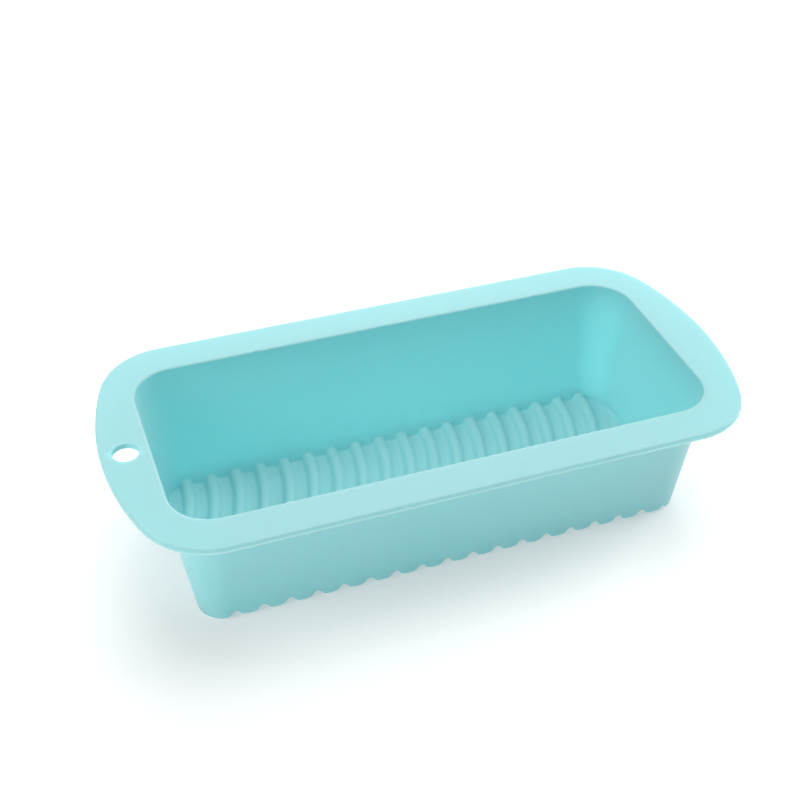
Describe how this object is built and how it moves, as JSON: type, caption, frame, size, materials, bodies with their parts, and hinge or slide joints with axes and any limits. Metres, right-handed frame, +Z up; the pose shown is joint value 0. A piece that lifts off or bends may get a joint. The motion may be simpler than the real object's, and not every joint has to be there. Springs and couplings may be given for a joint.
{
  "type": "silicone soap mould",
  "caption": "Long loaf-shaped silicone soap mould with drafted walls, a flat flange with a hanging hole in one end tab, and an S-ribbed floor.",
  "frame": {"origin": "on the surface that the mould stands on, under the middle of the tray", "axes": "+X along the length, from the tab with the hanging hole to the plain tab; +Y across the tray; +Z up, out of the open mouth"},
  "size_m": [0.285, 0.141, 0.0655],
  "materials": {
    "silicone": "matte moulded silicone, turquoise"
  },
  "bodies": {
    "root": {"rim_front": "silicone", "rim_back": "silicone", "hanging_tab": "silicone", "grip_tab": "silicone", "wall_front": "silicone", "wall_back": "silicone", "wall_hanging_end": "silicone", "wall_grip_end": "silicone", "floor_ribbed": "silicone"}
  },
  "joints": []
}
